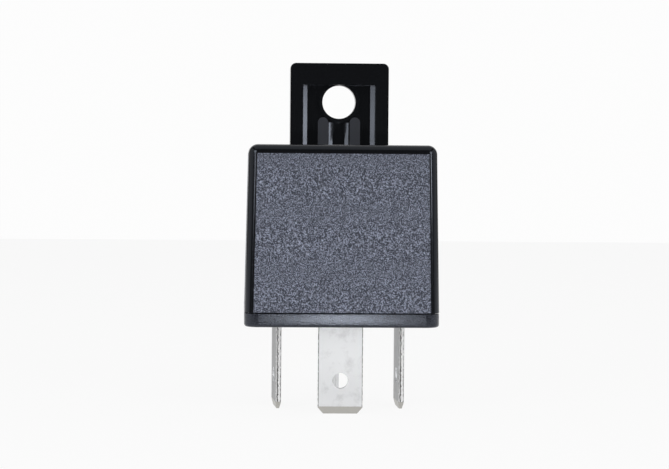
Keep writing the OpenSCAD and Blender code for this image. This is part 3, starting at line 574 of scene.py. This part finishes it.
inside = [  # node, piece, material, slot, body, rounding of the edges
    ("yoke", "yokeFrame", "iron", "plated_iron", "housing", 0.12),
    ("core", "coilCore", "iron", "pole_iron", "housing", 0.06),
    ("bobbin", "bobbinBody", "bobbin", "bobbin_plastic", "housing", 0.1),
    ("armature", "armaturePlate", "iron", "plated_iron", "armature", 0.1),
    ("armature_rivets", "armatureRivets", "rivets", "rivet_metal", "armature", 0.06),
    ("yoke_rivets", "yokeRivets", "rivets", "rivet_metal", "housing", 0.06),
    ("moving_contact", "movingContact", "silver", "contact_silver", "armature", 0.06),
    ("fixed_contact", "fixedContact", "silver", "contact_silver", "housing", 0.06),
    ("rest_stop", "restStop", "brass", "stop_brass", "housing", 0.06),
    ("coil_lead_85", "coilLead85", "copper", "enamelled_copper", "housing", 0.0),
    ("coil_lead_86", "coilLead86", "copper", "enamelled_copper", "housing", 0.0),
    ("resistor", "resistorBody", "resistor", "resistor_paint", "housing", 0.08),
    ("resistor_leads", "resistorLeads", "wire", "tinned_wire", "housing", 0.0),
]
wireEdge = {"width": 0.001, "segments": 1, "angle": 80}  # wires are round already
for node, name, finish, slotName, body, width in inside:
    piece = fromCad(node, name, width) if width else fromCad(node, name, **wireEdge)
    finishPiece(piece, materials[finish], body, [node])

spring = fromCad("contact_spring", "springLeaf", 0.03, 1)
finishPiece(spring, materials["bronze"], body=None)
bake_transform(spring)
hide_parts("contact_spring")
print("relay: works made")


# Floor, backdrop, light and camera

stage = {  # metres, and the share of the part's shadow that shows
    "floorWidth": 1.2, "floorFront": -0.15, "floorBack": 0.6, "backdropHeight": 0.9, "paint": 0.85,
    "shadow": 0.08, "backdropShadow": 0.03,
}


def paleSurface(name, shadowShare):
    material = bpy.data.materials.new(name)
    material.use_nodes = True
    tree = material.node_tree
    tree.nodes.clear()
    output = tree.nodes.new("ShaderNodeOutputMaterial")
    diffuse = tree.nodes.new("ShaderNodeBsdfDiffuse")
    diffuse.inputs["Color"].default_value = (stage["paint"],) * 3 + (1,)
    white = tree.nodes.new("ShaderNodeEmission")
    white.inputs["Strength"].default_value = 1.0
    path = tree.nodes.new("ShaderNodeLightPath")
    seen = math2(tree, "MAXIMUM", path.outputs["Is Camera Ray"], path.outputs["Is Glossy Ray"])
    seen = math2(tree, "MAXIMUM", seen, path.outputs["Is Transmission Ray"])
    mix = tree.nodes.new("ShaderNodeMixShader")
    tree.links.new(math2(tree, "MULTIPLY", seen, 1 - shadowShare), mix.inputs[0])
    tree.links.new(diffuse.outputs[0], mix.inputs[1])
    tree.links.new(white.outputs[0], mix.inputs[2])
    tree.links.new(mix.outputs[0], output.inputs[0])
    return material


def card(name, corners, material):
    mesh = bpy.data.meshes.new(name)
    mesh.from_pydata(corners, [], [(0, 1, 2, 3)])
    obj = newObject(name, mesh)
    obj.data.materials.append(material)


side, front, back = stage["floorWidth"] / 2, stage["floorFront"], stage["floorBack"]
card("floor", [(-side, front, 0), (side, front, 0), (side, back, 0), (-side, back, 0)],
     paleSurface("floorPaint", stage["shadow"]))
card("backdrop", [(-side, back, 0), (side, back, 0), (side, back, stage["backdropHeight"]),
                  (-side, back, stage["backdropHeight"])],
     paleSurface("backdropPaint", stage["backdropShadow"]))


def softLight(name, place, target, width, height, radiance):
    light = bpy.data.lights.new(name, "AREA")
    light.shape = "RECTANGLE"
    light.size, light.size_y = width, height
    light.energy = radiance * math.pi * width * height
    obj = bpy.data.objects.new(name, light)
    obj.location = place
    obj.rotation_euler = (Vector(target) - Vector(place)).to_track_quat("-Z", "Y").to_euler()
    obj.visible_camera = False
    bpy.context.scene.collection.objects.link(obj)


middle = (0, 0, 0.025)
lights = [  # name, place, target, width, height, radiance
    ("keyLeft", (-0.20, -0.28, 0.155), middle, 0.16, 0.20, 3.8),
    ("keyRight", (0.20, -0.28, 0.155), middle, 0.16, 0.20, 3.8),
    ("stripLeft", (-0.175, -0.297, 0.045), (0, 0, 0.04), 0.05, 0.016, 6.5),
    ("stripRight", (0.199, -0.281, 0.045), (0, 0, 0.04), 0.05, 0.016, 11.0),
    ("sideLeft", (-0.45, -0.05, 0.15), middle, 0.5, 0.5, 0.5),
    ("sideRight", (0.45, -0.05, 0.15), middle, 0.5, 0.5, 0.5),
    ("overhead", (0, 0.0, 0.5), middle, 0.6, 0.6, 0.45),
    ("lowFront", (0.014, -0.32, -0.0105), (0, 0, 0.013), 0.020, 0.014, 34.0),
]
for row in lights:
    softLight(*row)

ambience = {"part": 0.1, "lens": 0.9}  # the part sees the first, the lens both together
world = bpy.data.worlds.new("studio")
bpy.context.scene.world = world
world.use_nodes = True
tree = world.node_tree
tree.nodes.clear()
output = tree.nodes.new("ShaderNodeOutputWorld")
ambient = tree.nodes.new("ShaderNodeBackground")
ambient.inputs["Color"].default_value = (1, 1, 1, 1)
path = tree.nodes.new("ShaderNodeLightPath")
shown = math2(tree, "MULTIPLY", path.outputs["Is Camera Ray"], ambience["lens"])
tree.links.new(math2(tree, "ADD", shown, ambience["part"]), ambient.inputs["Strength"])
tree.links.new(ambient.outputs[0], output.inputs[0])

view = {  # millimetres and degrees; the lens looks from the left of the front, a little down
    "place": (-13.9, -314.3, 36.475), "yaw": 2.422, "pitch": 2.120, "roll": 0.4555, "lens": 117.75,
}
yaw, pitch, roll = (math.radians(view[k]) for k in ("yaw", "pitch", "roll"))
ahead = Vector((math.sin(yaw) * math.cos(pitch), math.cos(yaw) * math.cos(pitch), -math.sin(pitch)))
right = Vector((math.cos(yaw), -math.sin(yaw), 0))
up = right.cross(ahead)
tiltedRight = math.cos(roll) * right + math.sin(roll) * up
tiltedUp = math.cos(roll) * up - math.sin(roll) * right
camera = bpy.data.objects.new("camera", bpy.data.cameras.new("camera"))
camera.data.lens = view["lens"]
camera.data.sensor_width = 36
camera.data.clip_start, camera.data.clip_end = 0.01, 10
turned = Matrix((tiltedRight, tiltedUp, -ahead)).transposed().to_4x4()
camera.matrix_world = Matrix.Translation(Vector(view["place"]) * mm) @ turned
bpy.context.scene.collection.objects.link(camera)
bpy.context.scene.camera = camera
bpy.context.scene.view_settings.view_transform = "Standard"
print("relay: stage, light and camera set")
